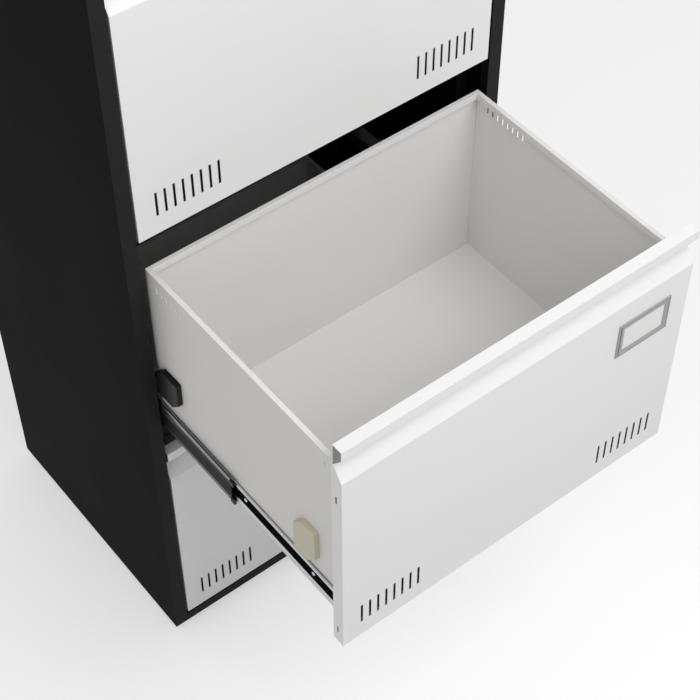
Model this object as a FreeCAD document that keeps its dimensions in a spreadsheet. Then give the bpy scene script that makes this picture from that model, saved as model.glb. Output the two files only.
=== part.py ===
import FreeCAD, Part
import os
import re
import math
import Sketcher

os.makedirs("parts", exist_ok=True)

# Lateral filing cabinet with three full-extension drawers, the middle one drawn out.
# Local frame of the carcass and of each drawer: x = 0 on the middle plane, y = 0 on the
# face of the fronts, +y to the rear. Sizes are in millimetres.

SIZES = [
    ("width", 620, "carcass, across"),
    ("depth", 460, "carcass, front to back"),
    ("drawer_pitch", 420, "one drawer front to the next"),
    ("base_height", 34, "floor to the lowest front"),
    ("top_margin", 26, "highest drawer bay to the top"),
    ("foot_height", 12, "glides under the bottom panel"),
    ("foot_radius", 18, "pad of a glide"),
    ("stem_radius", 5, "threaded stem of a glide"),
    ("pad_height", 5, "pad of a glide, thickness"),
    ("foot_inset", 45, "glide's axis from the carcass edges"),
    ("shell", 1.2, "carcass sheet"),
    ("post_width", 22, "visible post beside the fronts"),
    ("post_return", 15, "post's inner fold"),
    ("rear_flange", 25, "fold at the back of a side"),
    ("front_gap", 3, "post to drawer front"),
    ("header_gap", 4, "top lip to the header"),
    ("header_fold", 20, "lower fold of the header"),
    ("rail_fold", 18, "fold of the bottom rail"),
    ("divider_front", 26, "divider rail behind the front plane"),
    ("divider_depth", 26, "divider rail, front to back"),
    ("divider_low", 6, "divider rail below the front's edge"),
    ("divider_high", 24, "divider rail above the front's edge"),
    ("travel", 406, "drawer travel"),
    ("sheet", 1, "drawer sheet"),
    ("front_height", 410, "drawer front up to the lip's top"),
    ("face_height", 350, "flat face up to the bevel"),
    ("bevel_rise", 24, "bevel, in height"),
    ("recess", 16, "finger recess and bevel, in depth"),
    ("lip_face", 16, "front edge of the lip"),
    ("return_depth", 20, "side fold of a front"),
    ("box_inset", 7, "drawer side inside the front's edge"),
    ("box_depth", 414, "face of the front to the rear of the box"),
    ("rim_height", 364, "drawer side's top edge"),
    ("rim_width", 7, "folded rim, across"),
    ("rim_drop", 10, "folded rim, down"),
    ("floor_height", 58, "underside of the drawer floor"),
    ("slot_count", 8, "slots in a group"),
    ("slot_width", 3.6, "slot, across"),
    ("slot_height", 39, "front slot, tall"),
    ("slot_pitch", 13.4, "front slot to slot"),
    ("slot_edge", 31, "front's edge to the first slot"),
    ("slot_bottom", 29, "front's lower edge to the slots"),
    ("vent_height", 12, "side slot, tall"),
    ("vent_width", 2.6, "side slot, across"),
    ("vent_pitch", 10.4, "side slot to slot"),
    ("vent_rear", 98, "first side slot to the rear of the box"),
    ("vent_drop", 28, "side slot's lower end below the rim"),
    ("tab_width", 2.4, "assembly slot, across"),
    ("tab_height", 14, "assembly slot, tall"),
    ("tab_drop", 48, "upper assembly slot below the bevel"),
    ("tab_rise", 20, "lower assembly slot above the front's edge"),
    ("holder_width", 91, "label holder, across"),
    ("holder_height", 61, "label holder, tall"),
    ("holder_rim", 10, "label holder's frame"),
    ("holder_thick", 2.5, "label holder, thickness"),
    ("holder_edge", 79, "front's edge to the label holder's middle"),
    ("holder_z", 283, "label holder's middle, up"),
    ("card_thick", 0.8, "label card"),
    ("slide_height", 82, "slide's middle above the front's edge"),
    ("slide_start", 24, "cabinet member behind the front plane"),
    ("slide_length", 400, "slide members"),
    ("slide_set", 2, "drawer member set back at each end"),
    ("middle_set", 12, "intermediate member behind the cabinet member's front"),
    ("middle_end", 8, "intermediate member before the cabinet member's rear"),
    ("slide_thick", 12.7, "slide, across"),
    ("gauge", 1.2, "slide steel"),
    ("outer_tall", 53, "cabinet member, tall"),
    ("middle_tall", 46, "intermediate member, tall"),
    ("inner_tall", 40, "drawer member, tall"),
    ("outer_near", 3.6, "cabinet member's open edge from the drawer side"),
    ("inner_far", 4.4, "drawer member's open edge from the drawer side"),
    ("middle_near", 2, "intermediate member's open edge from the drawer side"),
    ("middle_far", 6.8, "intermediate member's web from the drawer side"),
    ("strip_far", 9.2, "intermediate's strip from the drawer side"),
    ("strip_margin", 4, "strip inside the intermediate's folds"),
    ("row_near", 2.2, "inner ball rows from the drawer side"),
    ("row_middle", 4.2, "inner ball rows to outer ball rows"),
    ("row_far", 6.4, "outer ball rows from the drawer side"),
    ("ball_clear", 0.3, "ball rows to the member beside them"),
    ("screw_half", 3.5, "slide screw's head, half"),
    ("post_line", 66, "front uprights behind the front plane"),
    ("rear_line", 370, "rear uprights behind the front plane"),
    ("upright_depth", 30, "upright, front to back"),
    ("catch_start", 56, "catch block behind the face"),
    ("catch_length", 44, "catch block, front to back"),
    ("catch_low", 116, "catch block's lower end"),
    ("catch_tall", 70, "catch block, tall"),
    ("catch_thick", 8.5, "catch block, across"),
    ("catch_slope", 16, "catch block's cut corners"),
    ("stop_rear", 58, "rear bracket's front end to the rear of the box"),
    ("stop_length", 52, "rear bracket, front to back"),
    ("stop_low", 132, "rear bracket's lower end"),
    ("stop_tall", 57, "rear bracket, tall"),
    ("lock_edge", 48, "lock's axis from the carcass side"),
    ("lock_reach", 12, "cam pin from the lock's axis"),
    ("lock_flange", 11, "lock housing's flange, radius"),
    ("housing_radius", 9, "lock housing, radius"),
    ("plug_radius", 6, "lock plug, radius"),
    ("lock_clear", 0.2, "running clearance in the lock"),
    ("lock_proud", 2, "lock in front of the header"),
    ("barrel_end", 4, "lock housing past the header's fold"),
    ("keyway_width", 1.6, "keyway, across"),
    ("keyway_tall", 8, "keyway, tall"),
    ("keyway_depth", 8, "keyway behind the front plane"),
    ("cam_gap", 1, "cam to the lock bar"),
    ("cam_thick", 3, "cam, front to back"),
    ("cam_tall", 12, "cam, tall"),
    ("cam_tail", 6, "cam's short end from the lock's axis"),
    ("cam_end", 4, "cam's long end past its pin"),
    ("pin_radius", 2, "cam pin"),
    ("pin_end", 2, "cam pin behind the lock bar"),
    ("bar_line", 50, "lock bar behind the front plane"),
    ("bar_thick", 3, "lock bar, front to back"),
    ("bar_width", 12, "lock bar, across"),
    ("bar_margin", 4.8, "lock bar inside the side sheet"),
    ("hook_rise", 6, "hook above the catch block, unlocked"),
    ("hook_tall", 10, "hook, tall"),
    ("hook_gap", 2, "hook to the drawer side"),
    ("head_half", 12, "lock bar's head above and below the lock's axis"),
    ("head_end", 8, "lock bar's head past the lock's axis"),
    ("yoke_half", 5, "slot in the head above and below the lock's axis"),
    ("yoke_end", 3, "slot in the head past the cam pin and the axis"),
    ("keeper_rise", 60, "guide above the hook"),
    ("keeper_tall", 18, "guide, tall"),
    ("keeper_wall", 4, "guide around the lock bar"),
    ("keeper_clear", 0.3, "running clearance in a guide"),
    ("past", 1, "how far a cut runs past the surface"),
]

# Places that follow from the sizes, as expressions
PLACES = {
    "half_width": "width / 2",
    "height": "base_height + 3 * drawer_pitch + top_margin",
    "half_bay": "half_width - post_width",
    "half_front": "half_bay - front_gap",
    "half_box": "half_front - box_inset",
    "front_y": "-(depth - travel - holder_thick) / 2",
    "panel_low": "foot_height + shell",
    "panel_high": "height - shell",
    "valley": "face_height + bevel_rise",
    "lip_low": "front_height - lip_face",
    "box_front": "return_depth",
    "header_low": "base_height + 2 * drawer_pitch + front_height + header_gap",
    "lock_z": "(header_low + panel_high) / 2",
    "hook_low": "catch_low + catch_tall + hook_rise",
    "bar_outer": "half_width - shell - bar_margin",
    "bar_inner": "bar_outer - bar_width",
    "wall_inner": "half_box - sheet",
    "lock_x": "half_width - lock_edge",
    "holder_x": "half_front - holder_edge",
    "vent_start": "box_depth - vent_rear",
    "vent_bottom": "rim_height - vent_drop",
    "stop_start": "box_depth - stop_rear",
}

# An outline starts as a ring of corners, which its constraints then pull to their places
START_RADIUS = 100

DRAWERS = [("bottom", 0, "0"), ("middle", 1, "travel"), ("top", 2, "0")]

doc = FreeCAD.newDocument("LateralFilingCabinet")
sheet = doc.addObject("Spreadsheet::Sheet", "Sizes")
for row, (alias, value, meaning) in enumerate(SIZES, start=1):
    sheet.set("A%d" % row, meaning)
    sheet.set("B%d" % row, str(value))
    sheet.setAlias("B%d" % row, alias)
doc.recompute()

value_of = {alias: value for alias, value, meaning in SIZES}
nodes = {}
serial = 0


def expand(text):
    """An expression in plain words, with each word replaced by its cell or its place."""
    def word(match):
        name = match.group(0)
        if name in PLACES:
            return "(" + expand(PLACES[name]) + ")"
        if name in value_of:
            return "Sizes." + name
        raise ValueError("no size is called " + name)
    return re.sub(r"[a-z][a-z_]*", word, text)


def bind(item, prop, text):
    item.setExpression(prop, expand(text))


def inner_name(stem):
    """A fresh name for a feature inside a sub-part."""
    global serial
    serial += 1
    return "%s_f%d" % (stem, serial)


def span(side, low, high):
    """A stretch across, for the right side (+1) or mirrored to the left (-1)."""
    if side > 0:
        return low, high
    return "-(%s)" % high, "-(%s)" % low


def box(stem, x, y, z):
    """A block between two ends along each axis."""
    item = doc.addObject("Part::Box", inner_name(stem))
    for prop, axis, (low, high) in zip(("Length", "Width", "Height"), "xyz", (x, y, z)):
        bind(item, prop, "(%s) - (%s)" % (high, low))
        bind(item, "Placement.Base." + axis, low)
    return item


def rod(stem, radius, x, z, y):
    """A round bar along y, from one end to the other."""
    item = doc.addObject("Part::Cylinder", inner_name(stem))
    bind(item, "Radius", radius)
    bind(item, "Height", "(%s) - (%s)" % (y[1], y[0]))
    item.Placement = FreeCAD.Placement(
        FreeCAD.Vector(), FreeCAD.Rotation(FreeCAD.Vector(1, 0, 0), -90))
    bind(item, "Placement.Base.x", x)
    bind(item, "Placement.Base.y", y[0])
    bind(item, "Placement.Base.z", z)
    return item


def drum(stem, radius, x, y, z):
    """An upright round bar."""
    item = doc.addObject("Part::Cylinder", inner_name(stem))
    bind(item, "Radius", radius)
    bind(item, "Height", "(%s) - (%s)" % (z[1], z[0]))
    bind(item, "Placement.Base.x", x)
    bind(item, "Placement.Base.y", y)
    bind(item, "Placement.Base.z", z[0])
    return item


def section(stem, plane, points, low, high):
    """A body padded from a closed outline: plane XY runs up, XZ to the rear, YZ across."""
    body = doc.addObject("PartDesign::Body", inner_name(stem))
    outline = body.newObject("Sketcher::SketchObject", inner_name("outline"))
    origin = [o for o in body.Origin.OriginFeatures if o.Role == plane + "_Plane"][0]
    outline.AttachmentSupport = [(origin, "")]
    outline.MapMode = "FlatFace"
    count = len(points)
    corners = [FreeCAD.Vector(math.cos(turn), math.sin(turn), 0) * START_RADIUS
               for turn in (2 * math.pi * i / count for i in range(count))]
    for i in range(count):
        outline.addGeometry(Part.LineSegment(corners[i], corners[(i + 1) % count]), False)
    for i in range(count):
        outline.addConstraint(Sketcher.Constraint("Coincident", i, 2, (i + 1) % count, 1))
    for i, (across, up) in enumerate(points):
        for kind, text, size in (("DistanceX", across, corners[i].x), ("DistanceY", up, corners[i].y)):
            index = outline.addConstraint(Sketcher.Constraint(kind, -1, 1, i, 1, size))
            outline.setExpression("Constraints[%d]" % index, expand(text))
    pad = body.newObject("PartDesign::Pad", inner_name("pad"))
    pad.Profile = outline
    bind(pad, "Length", "(%s) - (%s)" % (high, low))
    start = low if plane != "XZ" else "-(%s)" % high
    bind(outline, "AttachmentOffset.Base.z", start)
    return body


def join(stem, items):
    item = doc.addObject("Part::MultiFuse", inner_name(stem))
    item.Shapes = items
    item.Refine = True
    return item


def group(stem, items):
    """Separate solids kept in one sub-part."""
    item = doc.addObject("Part::Compound", inner_name(stem))
    item.Links = items
    return item


def cut(stem, base, tools):
    item = doc.addObject("Part::Cut", inner_name(stem))
    item.Base = base
    item.Tool = tools[0] if len(tools) == 1 else group(stem + "_tools", tools)
    return item


def publish(node, item, y="front_y", z="0"):
    """Give a sub-part its name and its place in the cabinet's frame."""
    item.Label = node
    bind(item, "Placement.Base.y", y)
    bind(item, "Placement.Base.z", z)
    nodes[node] = item


def side_panels():
    """Carcass sides: an outer skin folded into the visible post and the rear flange."""
    folds = [
        ("0", "0"), ("post_width", "0"), ("post_width", "post_return"),
        ("post_width - shell", "post_return"), ("post_width - shell", "shell"),
        ("shell", "shell"), ("shell", "depth - shell"), ("rear_flange", "depth - shell"),
        ("rear_flange", "depth"), ("0", "depth"),
    ]
    for word, side in (("left", "-1"), ("right", "1")):
        points = [("%s * (half_width - (%s))" % (side, u), y) for u, y in folds]
        panel = section("side", "XY", points, "panel_low", "panel_high")
        publish("carcass_side_" + word, panel)


def flat_panels():
    """Top, bottom and back of the carcass."""
    cover = [("-half_width", "0"), ("half_width", "0"), ("half_width", "depth"), ("-half_width", "depth")]
    publish("carcass_top", section("top", "XY", cover, "panel_high", "height"))
    publish("carcass_bottom", section("bottom", "XY", cover, "foot_height", "panel_low"))
    wide = "half_width - shell"
    back = [
        ("-(%s)" % wide, "depth - 2 * shell"), (wide, "depth - 2 * shell"),
        (wide, "depth - shell"), ("-(%s)" % wide, "depth - shell"),
    ]
    publish("carcass_back", section("back", "XY", back, "panel_low", "panel_high"))


def rails():
    """Header with the lock's hole, bottom rail, and a divider rail under each upper drawer."""
    header = section("header", "YZ", [
        ("0", "header_low"), ("header_fold", "header_low"), ("header_fold", "header_low + shell"),
        ("shell", "header_low + shell"), ("shell", "panel_high"), ("0", "panel_high"),
    ], "-half_bay", "half_bay")
    hole = rod("hole", "housing_radius + lock_clear", "-lock_x", "lock_z", ("-shell", "2 * shell"))
    publish("header_rail", cut("header", header, [hole]))
    rail_top = "base_height - front_gap"
    publish("bottom_rail", section("rail", "YZ", [
        ("0", "panel_low"), ("shell", "panel_low"), ("shell", "%s - shell" % rail_top),
        ("rail_fold", "%s - shell" % rail_top), ("rail_fold", rail_top), ("0", rail_top),
    ], "-half_bay", "half_bay"))
    reach = "half_width - shell"
    for word, step, drawn in DRAWERS[1:]:
        divider = section("divider", "YZ", [
            ("divider_front", "-divider_low"), ("divider_front + divider_depth", "-divider_low"),
            ("divider_front + divider_depth", "-divider_low + shell"),
            ("divider_front + shell", "-divider_low + shell"),
            ("divider_front + shell", "divider_high - shell"),
            ("divider_front + divider_depth", "divider_high - shell"),
            ("divider_front + divider_depth", "divider_high"), ("divider_front", "divider_high"),
        ], "-(%s)" % reach, reach)
        notch = box("notch", ("-(bar_outer + 2 * lock_clear)", "-(bar_inner - 2 * lock_clear)"),
                    ("bar_line - past", "bar_line + bar_thick + past"),
                    ("-divider_low - past", "divider_high + past"))
        base = "base_height + %d * drawer_pitch" % step
        publish("divider_rail_under_%s_drawer" % word, cut("divider", divider, [notch]), z=base)


def uprights():
    """Channels on the carcass sides that carry the slides."""
    face = "half_box + slide_thick"
    wall = "half_width - shell"
    for word, side in (("left", "-1"), ("right", "1")):
        channels = []
        for line in ("post_line", "rear_line"):
            far = "%s + upright_depth" % line
            shape = [
                (wall, line), (face, line), (face, far), (wall, far), (wall, "%s - shell" % far),
                ("%s + shell" % face, "%s - shell" % far), ("%s + shell" % face, "%s + shell" % line),
                (wall, "%s + shell" % line),
            ]
            points = [("%s * (%s)" % (side, x), y) for x, y in shape]
            channels.append(section("upright", "XY", points, "panel_low", "panel_high"))
        publish("slide_uprights_" + word, group("uprights", channels))


def glides():
    feet = []
    for x in ("-(half_width - foot_inset)", "half_width - foot_inset"):
        for y in ("foot_inset", "depth - foot_inset"):
            pad = drum("pad", "foot_radius", x, y, ("0", "pad_height"))
            stem = drum("stem", "stem_radius", x, y, ("pad_height", "foot_height"))
            feet.append(join("glide", [pad, stem]))
    publish("levelling_glides", group("glides", feet))


def channel_points(side, near, far, tall):
    """C outline of a slide member across the slide: web at far, folds towards near."""
    shape = [
        (near, "-(%s)" % tall), (far, "-(%s)" % tall), (far, tall), (near, tall),
        (near, "%s - gauge" % tall), ("%s - gauge" % far, "%s - gauge" % tall),
        ("%s - gauge" % far, "-(%s) + gauge" % tall), (near, "-(%s) + gauge" % tall),
    ]
    return [("%s * (half_box + %s)" % (side, u), "slide_height + %s" % z) for u, z in shape]


def cabinet_members():
    """Fixed members of the slides, three a side, with the screws that hold them."""
    screws = []
    for word, side in (("left", "-1"), ("right", "1")):
        members = []
        for name, step, drawn in DRAWERS:
            base = "base_height + %d * drawer_pitch" % step
            points = channel_points(side, "outer_near", "slide_thick", "outer_tall / 2")
            points = [(x, "%s + %s" % (base, z)) for x, z in points]
            members.append(section("member", "XZ", points, "slide_start", "slide_start + slide_length"))
            for line in ("post_line", "rear_line"):
                web = "half_box + slide_thick - gauge"
                across = span(int(side), "%s - gauge" % web, web)
                middle = "%s + upright_depth / 2" % line
                height = "%s + slide_height" % base
                screws.append(box("screw", across,
                                  ("%s - screw_half" % middle, "%s + screw_half" % middle),
                                  ("%s - screw_half" % height, "%s + screw_half" % height)))
        publish("cabinet_slide_members_" + word, group("members", members))
    publish("slide_screws", group("screws", screws))


def front_panel(name, y, z):
    """Face, bevel, finger recess and lip folded from one sheet, with side folds and slots."""
    back = "recess + sheet"
    skin = section("skin", "YZ", [
        ("0", "0"), ("return_depth", "0"), ("return_depth", "sheet"), ("sheet", "sheet"),
        ("sheet", "face_height - sheet / 2"), (back, "valley - sheet / 2"),
        (back, "front_height - sheet"), (back, "front_height"), ("0", "front_height"),
        ("0", "lip_low"), ("sheet", "lip_low"), ("sheet", "front_height - sheet"),
        ("recess", "front_height - sheet"), ("recess", "valley"), ("0", "face_height"),
    ], "-half_front", "half_front")
    shapes = [skin]
    for side in (-1, 1):
        x = span(side, "half_front - sheet", "half_front")
        fold = section("fold", "YZ", [
            ("sheet", "sheet"), ("return_depth", "sheet"), ("return_depth", "valley - sheet"),
            (back, "valley - sheet / 2"), ("sheet", "face_height - sheet / 2"),
        ], x[0], x[1])
        shapes.append(fold)
    slots = []
    for side in (-1, 1):
        for i in range(int(value_of["slot_count"])):
            middle = "half_front - slot_edge - %d * slot_pitch" % i
            x = span(side, "%s - slot_width / 2" % middle, "%s + slot_width / 2" % middle)
            slots.append(box("slot", x, ("-sheet", "2 * sheet"),
                             ("slot_bottom", "slot_bottom + slot_height")))
        for low in ("tab_rise", "face_height - tab_drop"):
            x = span(side, "half_front - 2 * sheet", "half_front + sheet")
            slots.append(box("tab", x, ("return_depth / 2", "return_depth / 2 + tab_width"),
                             (low, "%s + tab_height" % low)))
    publish(name + "_drawer_front", cut("front", join("front", shapes), slots), y, z)


def lip_caps(name, y, z):
    """Grey end caps that close the hollow of the lip at both ends, with a sloping foot."""
    caps = []
    for side in (-1, 1):
        x = span(side, "half_front - 2 * sheet", "half_front")
        caps.append(section("cap", "YZ", [
            ("recess", "valley"), ("recess", "front_height - sheet"),
            ("sheet", "front_height - sheet"), ("sheet", "lip_low"),
        ], x[0], x[1]))
    publish(name + "_lip_caps", group("caps", caps), y, z)


def drawer_box(name, y, z):
    """Liner behind the face, tray folded from one sheet with rolled rims, and rear panel."""
    inner = "half_front - sheet"
    liner = section("liner", "XZ", [
        ("-(%s)" % inner, "sheet"), (inner, "sheet"), (inner, "valley - 2 * sheet"),
        ("-(%s)" % inner, "valley - 2 * sheet"),
    ], "return_depth - sheet", "return_depth")
    publish(name + "_front_liner", liner, y, z)
    half = [
        ("half_box", "floor_height"), ("half_box", "rim_height"),
        ("half_box - rim_width", "rim_height"), ("half_box - rim_width", "rim_height - rim_drop"),
        ("half_box - rim_width + sheet", "rim_height - rim_drop"),
        ("half_box - rim_width + sheet", "rim_height - sheet"),
        ("wall_inner", "rim_height - sheet"), ("wall_inner", "floor_height + sheet"),
    ]
    outline = half + [("-(%s)" % x, up) for x, up in reversed(half)]
    tray = section("tray", "XZ", outline, "box_front", "box_depth")
    vents = []
    for side in (-1, 1):
        x = span(side, "half_box - 2 * sheet", "half_box + sheet")
        for i in range(int(value_of["slot_count"])):
            start = "vent_start + %d * vent_pitch" % i
            vents.append(box("vent", x, (start, "%s + vent_width" % start),
                             ("vent_bottom", "vent_bottom + vent_height")))
        start = "2 * return_depth"
        vents.append(box("vent", x, (start, "%s + tab_width" % start),
                         ("vent_bottom", "vent_bottom + vent_height")))
    publish(name + "_drawer_tray", cut("tray", tray, vents), y, z)
    rear = section("rear", "YZ", [
        ("box_depth - sheet", "floor_height + sheet"), ("box_depth", "floor_height + sheet"),
        ("box_depth", "rim_height"), ("box_depth - rim_width", "rim_height"),
        ("box_depth - rim_width", "rim_height - rim_drop"),
        ("box_depth - rim_width + sheet", "rim_height - rim_drop"),
        ("box_depth - rim_width + sheet", "rim_height - sheet"),
        ("box_depth - sheet", "rim_height - sheet"),
    ], "-(half_box - rim_width)", "half_box - rim_width")
    wings = []
    for side in (-1, 1):
        x = span(side, "half_box - rim_width", "wall_inner")
        wings.append(box("wing", x, ("box_depth - sheet", "box_depth"),
                         ("floor_height + sheet", "rim_height - rim_drop")))
    publish(name + "_drawer_back", join("rear", [rear] + wings), y, z)


def label_parts(name, y, z):
    """Label holder with a bevelled frame, and the blank card in it."""
    x = ("holder_x - holder_width / 2", "holder_x + holder_width / 2")
    up = ("holder_z - holder_height / 2", "holder_z + holder_height / 2")
    plate = box("plate", x, ("-holder_thick", "0"), up)
    window = box("window", ("%s + holder_rim" % x[0], "%s - holder_rim" % x[1]),
                 ("-2 * holder_thick", "-card_thick"), ("%s + holder_rim" % up[0], "%s - holder_rim" % up[1]))
    margin = "holder_rim / 2"
    pocket = box("pocket", ("%s + %s" % (x[0], margin), "%s - %s" % (x[1], margin)),
                 ("-card_thick", "past"), ("%s + %s" % (up[0], margin), "%s - %s" % (up[1], margin)))
    publish(name + "_label_holder", cut("holder", plate, [window, pocket]), y, z)
    card = box("card", ("%s + %s" % (x[0], margin), "%s - %s" % (x[1], margin)), ("-card_thick", "0"),
               ("%s + %s" % (up[0], margin), "%s - %s" % (up[1], margin)))
    publish(name + "_label_card", group("card", [card]), y, z)


def moving_slides(name, y, half_y, z):
    """Drawer members, fixed to the tray, and intermediate members with their front bumper."""
    for word, side in (("left", "-1"), ("right", "1")):
        shape = [
            ("0", "-inner_tall / 2"), ("inner_far", "-inner_tall / 2"),
            ("inner_far", "-inner_tall / 2 + gauge"),
            ("gauge", "-inner_tall / 2 + gauge"), ("gauge", "inner_tall / 2 - gauge"),
            ("inner_far", "inner_tall / 2 - gauge"), ("inner_far", "inner_tall / 2"),
            ("0", "inner_tall / 2"),
        ]
        points = [("%s * (half_box + %s)" % (side, u), "slide_height + %s" % up) for u, up in shape]
        inner = section("inner", "XZ", points, "box_front + slide_set", "box_depth - slide_set")
        publish("%s_drawer_slide_member_%s" % (name, word), inner, y, z)
        along = ("slide_start + middle_set", "slide_start + slide_length - middle_end")
        points = channel_points(side, "middle_near", "middle_far", "middle_tall / 2")
        middle = section("middle", "XZ", points, along[0], along[1])
        across = span(int(side), "half_box + middle_far", "half_box + strip_far")
        strip = box("strip", across, along, ("slide_height - middle_tall / 2 + strip_margin",
                                             "slide_height + middle_tall / 2 - strip_margin"))
        rows = []
        for turn in (1, -1):
            outer = span(turn, "middle_tall / 2", "outer_tall / 2 - gauge - ball_clear")
            inner = span(turn, "inner_tall / 2 + ball_clear", "middle_tall / 2 - gauge")
            for (low, high), near, far in ((outer, "row_middle", "row_far"),
                                           (inner, "row_near", "row_middle")):
                across = span(int(side), "half_box + " + near, "half_box + " + far)
                rows.append(box("row", across, along, ("slide_height + " + low, "slide_height + " + high)))
        publish("%s_slide_intermediate_%s" % (name, word), join("middle", [middle, strip] + rows), half_y, z)


def side_fittings(name, y, z):
    """Beige catch block near the front and black bracket at the rear, on the left side."""
    for node, start, length, low, tall, slope in (
            ("catch_block", "catch_start", "catch_length", "catch_low", "catch_tall", "catch_slope"),
            ("rear_bracket", "stop_start", "stop_length", "stop_low", "stop_tall", "catch_slope")):
        far = "%s + %s" % (start, length)
        high = "%s + %s" % (low, tall)
        points = [
            (start, "%s + %s" % (low, slope)), ("%s + %s" % (start, slope), low), (far, low),
            (far, "%s - %s" % (high, slope)), ("%s - %s" % (far, slope), high), (start, high),
        ]
        block = section("block", "YZ", points, "-(half_box + catch_thick)", "-half_box")
        publish("%s_drawer_%s" % (name, node), block, y, z)


def lock():
    """Housing in the header, plug and cam that turn, and the bar with a hook for each drawer."""
    housing = join("housing", [
        rod("flange", "lock_flange", "-lock_x", "lock_z", ("-lock_proud", "0")),
        rod("barrel", "housing_radius", "-lock_x", "lock_z", ("0", "header_fold + barrel_end")),
    ])
    bore = rod("bore", "plug_radius + lock_clear", "-lock_x", "lock_z",
               ("-lock_proud - past", "header_fold + barrel_end + past"))
    publish("lock_housing", cut("housing", housing, [bore]))
    plug = rod("plug", "plug_radius", "-lock_x", "lock_z", ("-lock_proud", "bar_line - cam_gap - cam_thick"))
    keyway = box("keyway", ("-lock_x - keyway_width / 2", "-lock_x + keyway_width / 2"),
                 ("-lock_proud - past", "keyway_depth"),
                 ("lock_z - keyway_tall / 2", "lock_z + keyway_tall / 2"))
    publish("lock_plug", cut("plug", plug, [keyway]))
    arm = box("arm", ("-lock_x - lock_reach - cam_end", "-lock_x + cam_tail"),
              ("bar_line - cam_gap - cam_thick", "bar_line - cam_gap"),
              ("lock_z - cam_tall / 2", "lock_z + cam_tall / 2"))
    pin = rod("pin", "pin_radius", "-lock_x - lock_reach", "lock_z",
              ("bar_line - cam_gap", "bar_line + bar_thick + pin_end"))
    publish("lock_cam", join("cam", [arm, pin]))
    rear = ("bar_line", "bar_line + bar_thick")
    welded = [box("bar", ("-bar_outer", "-bar_inner"), rear,
                  ("base_height + hook_low", "lock_z + head_half"))]
    for word, step, drawn in DRAWERS:
        low = "base_height + %d * drawer_pitch + hook_low" % step
        welded.append(box("hook", ("-bar_inner", "-(half_box + hook_gap)"), rear,
                          (low, "%s + hook_tall" % low)))
    head = box("head", ("-bar_inner", "-lock_x + head_end"), rear,
               ("lock_z - head_half", "lock_z + head_half"))
    slot = box("slot", ("-lock_x - lock_reach - yoke_end", "-lock_x + yoke_end"),
               ("bar_line - past", "bar_line + bar_thick + past"),
               ("lock_z - yoke_half", "lock_z + yoke_half"))
    publish("lock_bar", group("bar", welded + [cut("head", head, [slot])]))
    guides = []
    wall = "half_width - shell"
    for step in range(3):
        low = "base_height + %d * drawer_pitch + hook_low + keeper_rise" % step
        keeper = box("keeper", ("-(%s)" % wall, "-(bar_inner - keeper_wall)"),
                     ("bar_line - keeper_wall", "bar_line + bar_thick + keeper_wall"),
                     (low, "%s + keeper_tall" % low))
        passage = box("passage", ("-(bar_outer + keeper_clear)", "-(bar_inner - keeper_clear)"),
                      ("bar_line - keeper_clear", "bar_line + bar_thick + keeper_clear"),
                      ("%s - past" % low, "%s + keeper_tall + past" % low))
        guides.append(cut("guide", keeper, [passage]))
    publish("lock_bar_guides", group("guides", guides))


def carcass():
    side_panels()
    flat_panels()
    rails()
    uprights()
    glides()
    cabinet_members()
    lock()


def drawers():
    for name, step, drawn in DRAWERS:
        y = "front_y - %s" % drawn
        half_y = "front_y - %s / 2" % drawn
        z = "base_height + %d * drawer_pitch" % step
        front_panel(name, y, z)
        lip_caps(name, y, z)
        drawer_box(name, y, z)
        label_parts(name, y, z)
        moving_slides(name, y, half_y, z)
        side_fittings(name, y, z)


def export():
    """Check every object and every sub-part, then write one file a sub-part."""
    doc.recompute()
    for item in doc.Objects:
        if "Invalid" in item.State or "Error" in item.State:
            raise RuntimeError("%s (%s) is %s" % (item.Name, item.Label, item.State))
    for node, item in nodes.items():
        if item.Shape.isNull() or not item.Shape.isValid():
            raise RuntimeError(node + " has no valid shape")
    for node, item in nodes.items():
        item.Shape.exportStep("parts/%s.step" % node)
    print("%d sub-parts" % len(nodes))


carcass()
drawers()
export()
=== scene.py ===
"""Dresses the lateral filing cabinet: painted sheet steel, ball-bearing slides, lock and label holders."""

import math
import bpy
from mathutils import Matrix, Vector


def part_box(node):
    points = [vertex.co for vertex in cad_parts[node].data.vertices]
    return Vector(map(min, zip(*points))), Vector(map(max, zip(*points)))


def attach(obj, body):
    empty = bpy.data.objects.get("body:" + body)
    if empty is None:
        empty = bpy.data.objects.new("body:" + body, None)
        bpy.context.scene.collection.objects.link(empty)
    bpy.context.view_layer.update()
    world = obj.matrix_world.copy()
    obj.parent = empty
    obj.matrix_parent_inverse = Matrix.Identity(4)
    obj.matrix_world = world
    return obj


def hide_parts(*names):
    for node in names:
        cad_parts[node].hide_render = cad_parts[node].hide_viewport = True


bl_info = {
    "name": "Lateral filing cabinet",
    "version": (1, 0, 0),
    "blender": (4, 5, 0),
    "location": "3D View > Sidebar > Cabinet",
    "description": "Builds the visible pieces of a lateral filing cabinet on its frame",
    "category": "Object",
}

import bmesh
import bpy
from mathutils import Matrix, Vector

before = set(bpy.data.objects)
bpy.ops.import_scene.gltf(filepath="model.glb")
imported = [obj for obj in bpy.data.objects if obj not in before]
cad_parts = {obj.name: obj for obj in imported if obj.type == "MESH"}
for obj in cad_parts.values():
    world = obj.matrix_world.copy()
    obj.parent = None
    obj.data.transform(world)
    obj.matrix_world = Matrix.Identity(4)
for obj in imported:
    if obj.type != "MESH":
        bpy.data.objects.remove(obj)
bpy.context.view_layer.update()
MM = 0.001
DRAWERS = ("bottom", "middle", "top")
SIDES = (("left", -1), ("right", 1))
ABOVE_AND_BELOW = (1, -1)
FRONT_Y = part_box("carcass_side_left")[0].y
DRAWER_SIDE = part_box("middle_drawer_tray")[1].x

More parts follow.
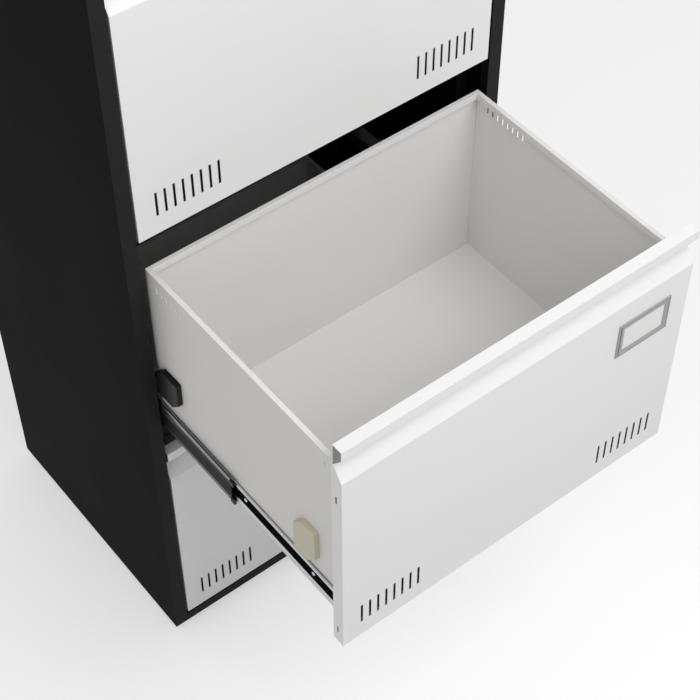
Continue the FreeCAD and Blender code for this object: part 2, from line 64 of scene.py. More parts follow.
# The camera's place from the cabinet's middle, the carcass front and the top drawer's lower edge
CAMERA_FROM_TOP_DRAWER = Vector((-1.0101, -1.3540, 1.5480))
CAMERA_AZIMUTH = math.radians(-37.91)
CAMERA_ELEVATION = math.radians(49.15)
CAMERA_ROLL = math.radians(-0.24)
FOCAL_PIXELS = 1748.9
PICTURE_PIXELS = 700

# The stage: how far the floor reaches, its grey, its own glow where it is seen directly, and
# the strength of the plain light from all around
FLOOR_REACH = 150
FLOOR_GREY = 0.60
FLOOR_GLOW = 0.45
WORLD_STRENGTH = 0.57

# Lamps: name, place, height on the fronts that it points at, width in metres, and watts
LAMPS = (
    ("Key", (0.3, -1.45, 2.45), 1.0, 1.5, 29.0),
    ("Fill", (-3.0, -1.2, 2.4), 0.8, 2.4, 14.0),
)

# Points nearer than this are one point, faces flatter than this are one face, and folds
# sharper than this are rolled over
SAME_POINT = 0.000002
FLAT_ANGLE = math.radians(1.0)
FOLD_ANGLE = math.radians(25)

# A face whose normal points this far towards the front looks forward
FACES_FORWARD = -0.9

# Noise values lie mostly between these
NOISE_LOW = 0.3
NOISE_HIGH = 0.7

# Depth of the orange peel in metres, on the coloured paints and on the black
FINE_PEEL = 0.00003
COARSE_PEEL = 0.00005

# Zinc-plated strips: colour, roughness, axis of the draw lines, and brightness at a flat angle. The two
# webs are the zinc of the races made near black and dim: painted shade for the depth of the slides'
# channel.
ZINC_STRIPS = (
    ("Slide zinc", (0.50, 0.51, 0.52), 0.30, "y", 1.0),
    ("Slide web painted shade", (0.030, 0.0305, 0.031), 0.34, "y", 0.3),
    ("Intermediate zinc", (0.30, 0.305, 0.31), 0.32, "y", 1.0),
    ("Intermediate web painted shade", (0.060, 0.061, 0.062), 0.36, "y", 0.45),
    ("Lock zinc", (0.55, 0.56, 0.57), 0.34, "z", 1.0),
)


class CabinetFinish(bpy.types.PropertyGroup):
    """Colours and finish of the paints and metals."""

    front_colour: bpy.props.FloatVectorProperty(
        name="Front paint", description="Colour of the drawer fronts", subtype="COLOR",
        size=3, min=0, max=1, default=(0.80, 0.80, 0.80))
    tray_colour: bpy.props.FloatVectorProperty(
        name="Tray paint", description="Colour of the drawer trays", subtype="COLOR",
        size=3, min=0, max=1, default=(0.74, 0.73, 0.72))
    carcass_colour: bpy.props.FloatVectorProperty(
        name="Carcass paint", description="Colour of the carcass", subtype="COLOR",
        size=3, min=0, max=1, default=(0.009, 0.009, 0.0095))
    # The carcass faces that look forward get a lighter black than the rest: painted light for the light
    # falling on the front. The carcass has one black paint.
    post_painted_light_colour: bpy.props.FloatVectorProperty(
        name="Carcass front painted light", description="Colour of the carcass faces beside the fronts",
        subtype="COLOR", size=3, min=0, max=1, default=(0.022, 0.022, 0.023))
    block_colour: bpy.props.FloatVectorProperty(
        name="Catch block", description="Colour of the catch blocks", subtype="COLOR",
        size=3, min=0, max=1, default=(0.60, 0.56, 0.42))
    paint_roughness: bpy.props.FloatProperty(
        name="Paint roughness", description="How matt the powder coat is", subtype="FACTOR",
        min=0, max=1, default=0.42)


class CabinetSizes(bpy.types.PropertyGroup):
    """Sizes of the details that are added to the frame."""

    fold_radius: bpy.props.FloatProperty(
        name="Fold radius", description="Radius of the edges of folded sheet", unit="LENGTH",
        default=0.45 * MM)
    ball_radius: bpy.props.FloatProperty(
        name="Ball radius", description="Radius of the smaller balls in the slides", unit="LENGTH",
        default=0.8 * MM)
    ball_pitch: bpy.props.FloatProperty(
        name="Ball pitch", description="Ball to ball along a slide", unit="LENGTH",
        default=9 * MM)


def finish():
    """The colours and finish that are set in the sidebar."""
    return bpy.context.scene.cabinet_finish


def sizes():
    """The sizes that are set in the sidebar."""
    return bpy.context.scene.cabinet_sizes


def new_material(name):
    """A material with its shader, and its object coordinates, which are metres in the frame."""
    material = bpy.data.materials.new(name)
    material.use_nodes = True
    nodes = material.node_tree.nodes
    shader = nodes["Principled BSDF"]
    place = nodes.new("ShaderNodeTexCoord")
    return material, nodes, material.node_tree.links, shader, place.outputs["Object"]


def add_noise(nodes, links, place, scale, detail=2.0, stretch=None):
    """Noise with its cell size set by scale, in cells a metre, drawn out along an axis if asked."""
    noise = nodes.new("ShaderNodeTexNoise")
    noise.inputs["Scale"].default_value = scale
    noise.inputs["Detail"].default_value = detail
    if stretch:
        mapping = nodes.new("ShaderNodeMapping")
        mapping.inputs["Scale"].default_value = stretch
        links.new(place, mapping.inputs["Vector"])
        place = mapping.outputs["Vector"]
    links.new(place, noise.inputs["Vector"])
    return noise.outputs["Fac"]


def add_roughness(nodes, links, shader, value, roughness, spread):
    """Lets the roughness wander by the spread to both sides, along a noise."""
    gloss = nodes.new("ShaderNodeMapRange")
    gloss.inputs["From Min"].default_value = NOISE_LOW
    gloss.inputs["From Max"].default_value = NOISE_HIGH
    gloss.inputs["To Min"].default_value = roughness - spread
    gloss.inputs["To Max"].default_value = roughness + spread
    links.new(value, gloss.inputs["Value"])
    links.new(gloss.outputs["Result"], shader.inputs["Roughness"])


def add_bump(nodes, links, shader, value, height):
    """Raises the surface along a noise, by a height in metres."""
    bump = nodes.new("ShaderNodeBump")
    bump.inputs["Strength"].default_value = 1.0
    bump.inputs["Distance"].default_value = height
    links.new(value, bump.inputs["Height"])
    links.new(bump.outputs["Normal"], shader.inputs["Normal"])


def add_tint(nodes, links, shader, value, colour, spread):
    """Varies a colour a little, darker and lighter by the same share."""
    mix = nodes.new("ShaderNodeMix")
    mix.data_type = "RGBA"
    mix.inputs["A"].default_value = [c * (1 - spread) for c in colour] + [1]
    mix.inputs["B"].default_value = [min(1, c * (1 + spread)) for c in colour] + [1]
    links.new(value, mix.inputs["Factor"])
    links.new(mix.outputs["Result"], shader.inputs["Base Color"])


def powder_coat(name, colour, roughness, peel_depth):
    """Baked powder coat: fine orange peel, a faint cloudiness and uneven gloss."""
    material, nodes, links, shader, place = new_material(name)
    clouds = add_noise(nodes, links, place, scale=6.0, detail=3.0)
    peel = add_noise(nodes, links, place, scale=900.0, detail=1.0)
    add_tint(nodes, links, shader, clouds, colour, spread=0.015)
    add_roughness(nodes, links, shader, clouds, roughness, spread=0.03)
    add_bump(nodes, links, shader, peel, peel_depth)
    return material


def rolled_zinc(name, colour, roughness, along, edge):
    """Zinc-plated strip: draw lines along the strip and a faint blotched sheen.

    The edge value is how bright the strip gets at a flat angle."""
    material, nodes, links, shader, place = new_material(name)
    stretch = [0.03 if axis == along else 1.0 for axis in "xyz"]
    lines = add_noise(nodes, links, place, scale=2500.0, detail=2.0, stretch=stretch)
    blotches = add_noise(nodes, links, place, scale=60.0, detail=3.0)
    shader.inputs["Metallic"].default_value = 1.0
    shader.inputs["Specular Tint"].default_value = (edge, edge, edge, 1)
    add_tint(nodes, links, shader, blotches, colour, spread=0.08)
    add_roughness(nodes, links, shader, lines, roughness, spread=0.07)
    add_bump(nodes, links, shader, lines, height=0.000004)
    return material


def moulded(name, colour, roughness, grain_scale):
    """Moulded plastic with a spark-eroded grain."""
    material, nodes, links, shader, place = new_material(name)
    grain = add_noise(nodes, links, place, scale=grain_scale, detail=4.0)
    clouds = add_noise(nodes, links, place, scale=40.0, detail=2.0)
    add_tint(nodes, links, shader, clouds, colour, spread=0.03)
    add_roughness(nodes, links, shader, grain, roughness, spread=0.05)
    add_bump(nodes, links, shader, grain, height=0.00002)
    return material


def card_stock(name, colour):
    """Blank label card: a matt sheet with paper fibres."""
    material, nodes, links, shader, place = new_material(name)
    fibres = add_noise(nodes, links, place, scale=1800.0, detail=5.0, stretch=(1.0, 1.0, 0.25))
    add_tint(nodes, links, shader, fibres, colour, spread=0.02)
    shader.inputs["Roughness"].default_value = 0.85
    add_bump(nodes, links, shader, fibres, height=0.00001)
    return material


def polished_chrome(name, colour):
    """Plated lock face with a faint haze."""
    material, nodes, links, shader, place = new_material(name)
    haze = add_noise(nodes, links, place, scale=700.0, detail=3.0)
    shader.inputs["Metallic"].default_value = 1.0
    add_tint(nodes, links, shader, haze, colour, spread=0.03)
    add_roughness(nodes, links, shader, haze, roughness=0.15, spread=0.05)
    return material


def set_sheen_level(material, level):
    """Sets how strongly a paint or plastic mirrors its surroundings."""
    material.node_tree.nodes["Principled BSDF"].inputs["Specular IOR Level"].default_value = level


def seen_directly(nodes, links):
    """One where the camera, a reflection or a clear piece looks, and nought elsewhere."""
    path = nodes.new("ShaderNodeLightPath")
    seen = path.outputs["Is Camera Ray"]
    for name in ("Is Glossy Ray", "Is Transmission Ray"):
        larger = nodes.new("ShaderNodeMath")
        larger.operation = "MAXIMUM"
        links.new(seen, larger.inputs[0])
        links.new(path.outputs[name], larger.inputs[1])
        seen = larger.outputs[0]
    return seen


def made(name):
    """A material made by the materials operator."""
    return bpy.data.materials[name]


def soften(node, body, material, radius=None, segments=2):
    """A visible copy of a node, with its flat faces joined and its edges rolled over."""
    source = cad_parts[node]
    mesh = bpy.data.meshes.new(node + "_skin")
    shape = bmesh.new()
    shape.from_mesh(source.data)
    bmesh.ops.remove_doubles(shape, verts=shape.verts, dist=SAME_POINT)
    bmesh.ops.dissolve_limit(shape, angle_limit=FLAT_ANGLE, verts=shape.verts,
                             edges=shape.edges, delimit={"NORMAL"})
    shape.to_mesh(mesh)
    shape.free()
    mesh.materials.clear()
    mesh.materials.append(made(material))
    skin = bpy.data.objects.new(node + "_skin", mesh)
    bpy.context.scene.collection.objects.link(skin)
    roll = skin.modifiers.new("Rolled edges", "BEVEL")
    roll.width = radius or sizes().fold_radius
    roll.segments = segments
    roll.limit_method = "ANGLE"
    roll.angle_limit = FOLD_ANGLE
    dress(skin, body)
    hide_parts(node)
    return skin


def paint_shading_on_front_faces(skin, material):
    """Gives the faces of a skin that look forward a second material: a lighter black on the carcass as
    painted light, a near black on the liners as painted shade.
    """
    skin.data.materials.append(made(material))
    for face in skin.data.polygons:
        if face.normal.y < FACES_FORWARD:
            face.material_index = 1


def dress(piece, body):
    """Puts a piece on its body."""
    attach(piece, body)
    return piece


def mesh_piece(name, shape, body, material, smooth=True):
    """A new piece from mesh code."""
    mesh = bpy.data.meshes.new(name)
    bmesh.ops.recalc_face_normals(shape, faces=shape.faces)
    shape.to_mesh(mesh)
    shape.free()
    mesh.materials.append(made(material))
    for face in mesh.polygons:
        face.use_smooth = smooth
    piece = bpy.data.objects.new(name, mesh)
    bpy.context.scene.collection.objects.link(piece)
    return dress(piece, body)


def add_block(shape, low, high, roll=0.0):
    """A block between two corners, its edges rolled over."""
    low = Vector(low)
    high = Vector(high)
    size = high - low
    place = Matrix.Translation((low + high) / 2) @ Matrix.Diagonal((*size, 1))
    corners = bmesh.ops.create_cube(shape, size=1, matrix=place)["verts"]
    if roll:
        edges = list({edge for corner in corners for edge in corner.link_edges})
        bmesh.ops.bevel(shape, geom=edges, offset=roll, segments=2, affect="EDGES", profile=0.5)


def drawer_body(name):
    """The body that a drawer's own pieces ride on."""
    return name + "_drawer"


def intermediate_body(name):
    """The body that a drawer's intermediate slide members ride on."""
    return name + "_intermediates"


class CABINET_OT_materials(bpy.types.Operator):
    """Make the paints, metals and plastics"""

    bl_idname = "cabinet.materials"
    bl_label = "Materials"

    def execute(self, context):
        look = finish()
        matt = look.paint_roughness
        powder_coat("Front paint", look.front_colour, matt, FINE_PEEL)
        powder_coat("Tray paint", look.tray_colour, matt + 0.05, FINE_PEEL)
        carcass = powder_coat("Carcass paint", look.carcass_colour, matt, COARSE_PEEL)
        set_sheen_level(carcass, 0.004)
        # Carcass front paint is the carcass black made lighter and glossier: painted light on the forward
        # faces.
        posts = powder_coat("Carcass front painted light", look.post_painted_light_colour, matt, COARSE_PEEL)
        set_sheen_level(posts, 0.02)
        # Front inner paint is a near black: painted shade for the dark inside of the fronts, seen through
        # the slots.
        powder_coat("Front inner painted shade", (0.025, 0.025, 0.026), 0.6, FINE_PEEL)
        # The lip caps are a dark grey, much darker than the white fronts.
        powder_coat("Lip cap dark grey", (0.20, 0.20, 0.21), matt, FINE_PEEL)
        for name, colour, roughness, along, edge in ZINC_STRIPS:
            rolled_zinc(name, colour, roughness, along, edge)
        moulded("Catch plastic", look.block_colour, roughness=0.50, grain_scale=1400.0)
        black = moulded("Black plastic", (0.006, 0.006, 0.0065), roughness=0.42, grain_scale=1400.0)
        set_sheen_level(black, 0.2)
        moulded("Holder plastic", (0.33, 0.33, 0.34), roughness=0.38, grain_scale=1600.0)
        card_stock("Label card", (0.80, 0.80, 0.79))
        polished_chrome("Lock chrome", (0.72, 0.72, 0.73))
        return {"FINISHED"}


class CABINET_OT_fronts(bpy.types.Operator):
    """Dress the drawer fronts, their lip caps and the liners behind them"""

    bl_idname = "cabinet.fronts"
    bl_label = "Drawer fronts"

    def execute(self, context):
        for name in DRAWERS:
            body = drawer_body(name)
            soften(name + "_drawer_front", body, "Front paint", segments=3)
            soften(name + "_lip_caps", body, "Lip cap dark grey", radius=0.15 * MM)
            liner = soften(name + "_front_liner", body, "Tray paint", radius=0.2 * MM)
            # The liner faces behind the slots are near black: painted shade for the dark inside of the
            # front.
            paint_shading_on_front_faces(liner, "Front inner painted shade")
        return {"FINISHED"}


class CABINET_OT_trays(bpy.types.Operator):
    """Dress the drawer trays and their rear panels"""

    bl_idname = "cabinet.trays"
    bl_label = "Drawer trays"

    def execute(self, context):
        for name in DRAWERS:
            body = drawer_body(name)
            soften(name + "_drawer_tray", body, "Tray paint")
            soften(name + "_drawer_back", body, "Tray paint")
        return {"FINISHED"}


class CABINET_OT_labels(bpy.types.Operator):
    """Make the label holders with stepped frames, and their blank cards"""

    bl_idname = "cabinet.labels"
    bl_label = "Label holders"

    # The frame's section: a low outer step, a groove, a raised band and a slope to the window.
    # Each point has its inset in millimetres, and its rise as a share of the holder's depth
    FRAME_SECTION = (
        (0.0, 0.0), (0.0, 0.55), (0.7, 0.8), (2.2, 0.8), (2.4, 0.3), (3.6, 0.3),
        (3.9, 1.0), (6.2, 1.0), (7.4, 0.8), (9.2, 0.62), (10, 0.5), (10, 0.35))

    def execute(self, context):
        for name in DRAWERS:
            body = drawer_body(name)
            low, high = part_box(name + "_label_holder")
            shape = bmesh.new()
            self.add_frame(shape, low, high)
            holder = mesh_piece(name + "_label_frame", shape, body,
                                "Holder plastic", smooth=False)
            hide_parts(name + "_label_holder")
            soften(name + "_label_card", body, "Label card", radius=0.1 * MM)
        return {"FINISHED"}

    def add_frame(self, shape, low, high):
        """A ring with the frame's section, mitred at its four corners."""
        depth = high.y - low.y
        rings = []
        for inset_mm, rise in self.FRAME_SECTION:
            inset = inset_mm * MM
            y = high.y - depth * rise
            left, right = low.x + inset, high.x - inset
            bottom, top = low.z + inset, high.z - inset
            corners = ((left, bottom), (right, bottom), (right, top), (left, top))
            rings.append([shape.verts.new((x, y, z)) for x, z in corners])
        for outer, inner in zip(rings, rings[1:] + rings[:1]):
            for i in range(4):
                j = (i + 1) % 4
                shape.faces.new((outer[i], outer[j], inner[j], inner[i]))


class CABINET_OT_slides(bpy.types.Operator):
    """Make the slide members from their rolled sections, with balls, cages, screws and buffers"""

    bl_idname = "cabinet.slides"
    bl_label = "Slides"

    # Centre lines of half a section, from the middle of the web to the lip: out from the drawer
    # side, and up from the slide's middle, in millimetres
    INNER_WEB = ((0.6, 0), (0.6, 12.6), (1.1, 13.4))
    INNER_RACE = ((1.1, 13.4), (2.9, 14.6), (3.8, 15.8), (3.8, 18.4), (3.0, 19.4), (1.2, 19.4))
    MIDDLE_WEB = ((8.5, 0), (8.5, 12.5), (7.9, 14.0), (6.5, 15.4))
    MIDDLE_RACE = ((6.5, 15.4), (6.3, 20.8), (5.6, 22.0), (4.4, 22.4), (3.0, 22.2), (2.6, 21.4))
    OUTER_WEB = ((12.1, 0), (12.1, 23.4))
    OUTER_RACE = ((12.1, 23.4), (11.3, 25.2), (10.0, 25.9), (5.2, 25.9), (4.2, 25.2))
    THICKNESS = 1.1

    # Ball rows: out and up as above, and the balls' size against the smaller ones
    BALL_ROWS = ((3.1, 20.8, 1.0), (5.7, 24.05, 1.45))
    BALLS_FROM_END = 10 * MM
    CAGE_FROM_END = 5 * MM
    CAGE_HALF_WIDTH = 0.9 * MM
    CAGE_HALF_THICKNESS = 0.25 * MM

    # End buffers: nearest and furthest out and up, in millimetres
    BUFFER_OUT = (4.6, 8.9)
    BUFFER_UP = (14.0, 24.2)
    BUFFER_AHEAD = 5 * MM
    BUFFER_INSIDE = 4 * MM
    BUFFER_ROLL = 0.8 * MM

    # Low round screw heads: radius and rise of each ring in millimetres, and where along the
    # member they sit, as shares of its length
    HEAD_RINGS = ((3.2, 0.0), (3.1, 0.5), (2.5, 1.0), (1.4, 1.25), (0.0, 1.3))
    HEAD_STEPS = 20
    HEADS_ALONG = (0.12, 0.5, 0.88)

    def execute(self, context):
        for name in DRAWERS:
            for word, side in SIDES:
                self.add_drawer_member(name, word, side)
                self.add_intermediate(name, word, side)
        for word, side in SIDES:
            self.add_cabinet_members(word, side)
        soften("slide_screws", "cabinet", "Slide zinc", radius=0.5 * MM)
        return {"FINISHED"}

    def add_section(self, shape, side, middle, ends, line, turn, slot_index):
        """Extrudes one thick centre line from the front end of a member to its rear end."""
        points = [Vector((out, turn * up)) for out, up in line]
        left, right = [], []
        for i, point in enumerate(points):
            before = points[max(i - 1, 0)]
            after = points[min(i + 1, len(points) - 1)]
            along = (after - before).normalized()
            across = Vector((-along.y, along.x)) * self.THICKNESS / 2
            left.append(point + across)
            right.append(point - across)
        outline = left + right[::-1]
        rings = []
        for y in ends:
            rings.append([shape.verts.new((side * (DRAWER_SIDE + p.x * MM), y, middle + p.y * MM))
                          for p in outline])
        front, rear = rings
        count = len(outline)
        faces = []
        for i in range(count):
            j = (i + 1) % count
            faces.append(shape.faces.new((front[i], front[j], rear[j], rear[i])))
        for ring in rings:
            for i in range(len(left) - 1):
                opposite = count - 1 - i
                corners = (ring[i], ring[i + 1], ring[opposite - 1], ring[opposite])
                faces.append(shape.faces.new(corners))
        for face in faces:
            face.material_index = slot_index

    def member(self, name, side, middle, ends, web, race, body, materials):
        """A slide member with its web in near black zinc, painted shade for the depth of the channel, and
        its races in bright zinc.
        """
        shape = bmesh.new()
        for turn in ABOVE_AND_BELOW:
            self.add_section(shape, side, middle, ends, web, turn, 0)
            self.add_section(shape, side, middle, ends, race, turn, 1)
        piece = mesh_piece(name, shape, body, materials[0], smooth=False)
        piece.data.materials.append(made(materials[1]))
        return piece

    def add_drawer_member(self, name, word, side):
        """The member on the drawer's side, with its screw heads."""
        node = "%s_drawer_slide_member_%s" % (name, word)
        low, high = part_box(node)
        middle = (low.z + high.z) / 2
        piece = self.member(node + "_rolled", side, middle, (low.y, high.y), self.INNER_WEB,
                            self.INNER_RACE, drawer_body(name), ("Slide web painted shade", "Slide zinc"))
        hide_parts(node)
        shape = bmesh.new()
        for share in self.HEADS_ALONG:
            self.add_pan_head(shape, side, low.y + (high.y - low.y) * share, middle)
        mesh_piece("%s_slide_fixings_%s" % (name, word), shape, drawer_body(name),
                   "Slide zinc")

    def add_pan_head(self, shape, side, y, z):
        """A low round screw head on the web of a drawer member."""
        near = DRAWER_SIDE + self.THICKNESS * MM
        previous = None
        for radius, rise in self.HEAD_RINGS:
            x = side * (near + rise * MM)
            if radius:
                ring = []
                for i in range(self.HEAD_STEPS):
                    turn = 2 * math.pi * i / self.HEAD_STEPS
                    across = radius * MM * math.cos(turn)
                    up = radius * MM * math.sin(turn)
                    ring.append(shape.verts.new((x, y + across, z + up)))
            else:
                ring = [shape.verts.new((x, y, z))] * self.HEAD_STEPS
            if previous:
                for i in range(self.HEAD_STEPS):
                    j = (i + 1) % self.HEAD_STEPS
                    corners = [previous[i], previous[j], ring[j]] + ([ring[i]] if radius else [])
                    shape.faces.new(corners)
            previous = ring

    def add_intermediate(self, name, word, side):
        """The member between the drawer's and the cabinet's, with its balls and buffer."""
        node = "%s_slide_intermediate_%s" % (name, word)
        low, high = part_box(node)
        middle = (low.z + high.z) / 2
        piece = self.member(node + "_rolled", side, middle, (low.y, high.y), self.MIDDLE_WEB,
                            self.MIDDLE_RACE, intermediate_body(name),
                            ("Intermediate web painted shade", "Intermediate zinc"))
        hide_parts(node)
        self.add_balls(name, word, side, middle, low.y, high.y)
        self.add_buffer(name, word, side, middle, low.y)

    def add_cabinet_members(self, word, side):
        """The three fixed members on one side of the cabinet, as one piece."""
        node = "cabinet_slide_members_" + word
        low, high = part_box(node)
        shape = bmesh.new()
        for name in DRAWERS:
            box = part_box("%s_slide_intermediate_%s" % (name, word))
            middle = (box[0].z + box[1].z) / 2
            for turn in ABOVE_AND_BELOW:
                self.add_section(shape, side, middle, (low.y, high.y), self.OUTER_WEB, turn, 0)
                self.add_section(shape, side, middle, (low.y, high.y), self.OUTER_RACE, turn, 0)
        piece = mesh_piece(node + "_rolled", shape, "cabinet", "Slide zinc",
                           smooth=False)
        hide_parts(node)

    def add_buffer(self, name, word, side, middle, front):
        """Two black end buffers, on the front of the intermediate member's upper and lower race."""
        shape = bmesh.new()
        across = sorted(side * (DRAWER_SIDE + out * MM) for out in self.BUFFER_OUT)
        for turn in reversed(ABOVE_AND_BELOW):
            heights = sorted(middle + turn * up * MM for up in self.BUFFER_UP)
            add_block(shape, (across[0], front - self.BUFFER_AHEAD, heights[0]),
                      (across[1], front + self.BUFFER_INSIDE, heights[1]), self.BUFFER_ROLL)
        mesh_piece("%s_slide_buffer_%s" % (name, word), shape, intermediate_body(name),
                   "Black plastic", smooth=False)

    def add_balls(self, name, word, side, middle, front, rear):
        """Balls in their cages above and below, on both sides of the intermediate's races."""
        pitch = sizes().ball_pitch
        count = int((rear - front - 2 * self.BALLS_FROM_END) / pitch)
        shape = bmesh.new()
        for out, up, larger in self.BALL_ROWS:
            x = side * (DRAWER_SIDE + out * MM)
            radius = larger * sizes().ball_radius
            for turn in ABOVE_AND_BELOW:
                z = middle + turn * up * MM
                near = (x - self.CAGE_HALF_WIDTH, front + self.CAGE_FROM_END,
                        z - self.CAGE_HALF_THICKNESS)
                far = (x + self.CAGE_HALF_WIDTH, rear - self.CAGE_FROM_END,
                       z + self.CAGE_HALF_THICKNESS)
                add_block(shape, near, far)
                for i in range(count):
                    place = Matrix.Translation((x, front + self.BALLS_FROM_END + i * pitch, z))
                    bmesh.ops.create_icosphere(shape, subdivisions=2, radius=radius, matrix=place)
        # The balls take the near black web zinc: painted shade for the channel they run in.
        mesh_piece("%s_slide_balls_%s" % (name, word), shape, intermediate_body(name),
                   "Slide web painted shade")


class CABINET_OT_side_blocks(bpy.types.Operator):
    """Dress the catch blocks and the rear brackets on the drawer sides"""

    bl_idname = "cabinet.side_blocks"
    bl_label = "Side blocks"

    def execute(self, context):
        for name in DRAWERS:
            body = drawer_body(name)
            soften(name + "_drawer_catch_block", body, "Catch plastic",
                   radius=1.0 * MM, segments=3)
            soften(name + "_drawer_rear_bracket", body, "Black plastic",
                   radius=1.0 * MM, segments=3)
        return {"FINISHED"}


class CABINET_OT_carcass(bpy.types.Operator):
    """Dress the carcass, its rails, uprights and glides"""

    bl_idname = "cabinet.carcass"
    bl_label = "Carcass"

    def execute(self, context):
        painted = ["carcass_side_left", "carcass_side_right", "carcass_top", "carcass_bottom",
                   "carcass_back", "header_rail", "bottom_rail", "slide_uprights_left",
                   "slide_uprights_right"]
        painted += ["divider_rail_under_%s_drawer" % name for name in DRAWERS[1:]]
        for node in painted:
            skin = soften(node, "cabinet", "Carcass paint")
            # The forward faces take the lighter black: painted light for the light falling on the front of
            # the carcass.
            paint_shading_on_front_faces(skin, "Carcass front painted light")
        soften("levelling_glides", "cabinet", "Black plastic", radius=0.8 * MM)
        return {"FINISHED"}


class CABINET_OT_lock(bpy.types.Operator):
    """Dress the lock, its cam, bar and guides"""

    bl_idname = "cabinet.lock"
    bl_label = "Lock"

    def execute(self, context):
        soften("lock_housing", "cabinet", "Lock chrome", radius=0.5 * MM, segments=3)
        soften("lock_plug", "lock_plug", "Lock chrome", radius=0.3 * MM)
        soften("lock_cam", "lock_plug", "Lock zinc", radius=0.3 * MM)
        soften("lock_bar", "lock_bar", "Lock zinc", radius=0.3 * MM)
        soften("lock_bar_guides", "cabinet", "Black plastic", radius=0.4 * MM)
        return {"FINISHED"}


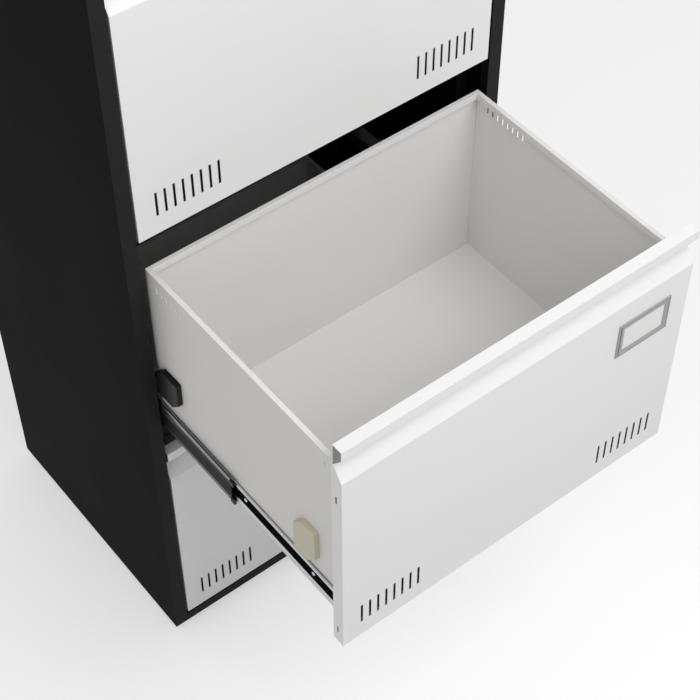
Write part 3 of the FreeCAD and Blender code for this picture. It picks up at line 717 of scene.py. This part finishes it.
class CABINET_OT_stage(bpy.types.Operator):
    """Make the floor, the light and the camera"""

    bl_idname = "cabinet.stage"
    bl_label = "Stage"

    def execute(self, context):
        scene = context.scene
        scene.view_settings.view_transform = "Standard"
        self.add_floor(scene)
        self.add_world(scene)
        self.add_lamps(scene)
        self.add_camera(scene)
        return {"FINISHED"}

    def add_floor(self, scene):
        """One wide flat face under the cabinet."""
        shape = bmesh.new()
        bmesh.ops.create_grid(shape, x_segments=1, y_segments=1, size=FLOOR_REACH)
        mesh = bpy.data.meshes.new("Floor")
        shape.to_mesh(mesh)
        shape.free()
        floor = bpy.data.objects.new("Floor", mesh)
        scene.collection.objects.link(floor)
        mesh.materials.append(self.pale_floor())

    def pale_floor(self):
        """A plain pale floor that looks near white and still shows the object's shadow."""
        material = bpy.data.materials.new("Pale floor")
        material.use_nodes = True
        nodes = material.node_tree.nodes
        links = material.node_tree.links
        shader = nodes["Principled BSDF"]
        shader.inputs["Base Color"].default_value = (FLOOR_GREY, FLOOR_GREY, FLOOR_GREY, 1)
        shader.inputs["Roughness"].default_value = 0.9
        shader.inputs["Specular IOR Level"].default_value = 0.1
        shader.inputs["Emission Color"].default_value = (1, 1, 1, 1)
        glow = nodes.new("ShaderNodeMath")
        glow.operation = "MULTIPLY"
        glow.inputs[1].default_value = FLOOR_GLOW
        links.new(seen_directly(nodes, links), glow.inputs[0])
        links.new(glow.outputs[0], shader.inputs["Emission Strength"])
        return material

    def add_world(self, scene):
        """A plain grey light, with a white background where the camera or a reflection looks."""
        world = bpy.data.worlds.new("Studio")
        world.use_nodes = True
        scene.world = world
        nodes = world.node_tree.nodes
        links = world.node_tree.links
        light = nodes["Background"]
        light.inputs["Color"].default_value = (1, 1, 1, 1)
        light.inputs["Strength"].default_value = WORLD_STRENGTH
        seen = nodes.new("ShaderNodeBackground")
        seen.inputs["Color"].default_value = (1, 1, 1, 1)
        mix = nodes.new("ShaderNodeMixShader")
        links.new(seen_directly(nodes, links), mix.inputs["Fac"])
        links.new(light.outputs["Background"], mix.inputs[1])
        links.new(seen.outputs["Background"], mix.inputs[2])
        links.new(mix.outputs["Shader"], nodes["World Output"].inputs["Surface"])

    def add_lamps(self, scene):
        """A soft key from above the front, and a weaker fill from the left."""
        for name, spot, height, width, power in LAMPS:
            lamp = bpy.data.lights.new(name, "AREA")
            lamp.size = width
            lamp.energy = power
            place = Vector(spot)
            target = Vector((0, FRONT_Y, height))
            piece = bpy.data.objects.new(name, lamp)
            piece.location = place
            piece.rotation_euler = (target - place).to_track_quat("-Z", "Y").to_euler()
            scene.collection.objects.link(piece)

    def add_camera(self, scene):
        """The camera at the photograph's viewing angle."""
        data = bpy.data.cameras.new("Camera")
        camera = bpy.data.objects.new("Camera", data)
        scene.collection.objects.link(camera)
        scene.camera = camera
        data.lens = FOCAL_PIXELS / PICTURE_PIXELS * data.sensor_width
        level = math.cos(CAMERA_ELEVATION)
        back = Vector((math.sin(CAMERA_AZIMUTH) * level, -math.cos(CAMERA_AZIMUTH) * level,
                       math.sin(CAMERA_ELEVATION)))
        right = Vector((0, 0, 1)).cross(back).normalized()
        over = back.cross(right)
        turned_right = right * math.cos(CAMERA_ROLL) + over * math.sin(CAMERA_ROLL)
        turned_over = back.cross(turned_right)
        base = Vector((0, FRONT_Y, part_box("top_drawer_front")[0].z))
        turn = Matrix((turned_right, turned_over, back)).transposed().to_4x4()
        camera.matrix_world = Matrix.Translation(base + CAMERA_FROM_TOP_DRAWER) @ turn


class CABINET_PT_pieces(bpy.types.Panel):
    """Lists the cabinet's pieces, finishes and sizes"""

    bl_label = "Filing cabinet"
    bl_idname = "CABINET_PT_pieces"
    bl_space_type = "VIEW_3D"
    bl_region_type = "UI"
    bl_category = "Cabinet"

    def draw(self, context):
        layout = self.layout
        for group in (finish(), sizes()):
            for name in group.bl_rna.properties.keys():
                if name not in ("rna_type", "name"):
                    layout.prop(group, name)
        for operator in PIECE_OPERATORS:
            layout.operator(operator.bl_idname)


PIECE_OPERATORS = (
    CABINET_OT_materials, CABINET_OT_fronts, CABINET_OT_trays, CABINET_OT_labels,
    CABINET_OT_slides, CABINET_OT_side_blocks, CABINET_OT_carcass, CABINET_OT_lock,
    CABINET_OT_stage,
)
CLASSES = (CabinetFinish, CabinetSizes) + PIECE_OPERATORS + (CABINET_PT_pieces,)


def register():
    for item in CLASSES:
        bpy.utils.register_class(item)
    bpy.types.Scene.cabinet_finish = bpy.props.PointerProperty(type=CabinetFinish)
    bpy.types.Scene.cabinet_sizes = bpy.props.PointerProperty(type=CabinetSizes)


def unregister():
    del bpy.types.Scene.cabinet_sizes
    del bpy.types.Scene.cabinet_finish
    for item in reversed(CLASSES):
        bpy.utils.unregister_class(item)


def main():
    """Makes every group of pieces in order."""
    register()
    bpy.ops.cabinet.materials()
    bpy.ops.cabinet.fronts()
    bpy.ops.cabinet.trays()
    bpy.ops.cabinet.labels()
    bpy.ops.cabinet.slides()
    bpy.ops.cabinet.side_blocks()
    bpy.ops.cabinet.carcass()
    bpy.ops.cabinet.lock()
    bpy.ops.cabinet.stage()


if __name__ == "__main__":
    main()
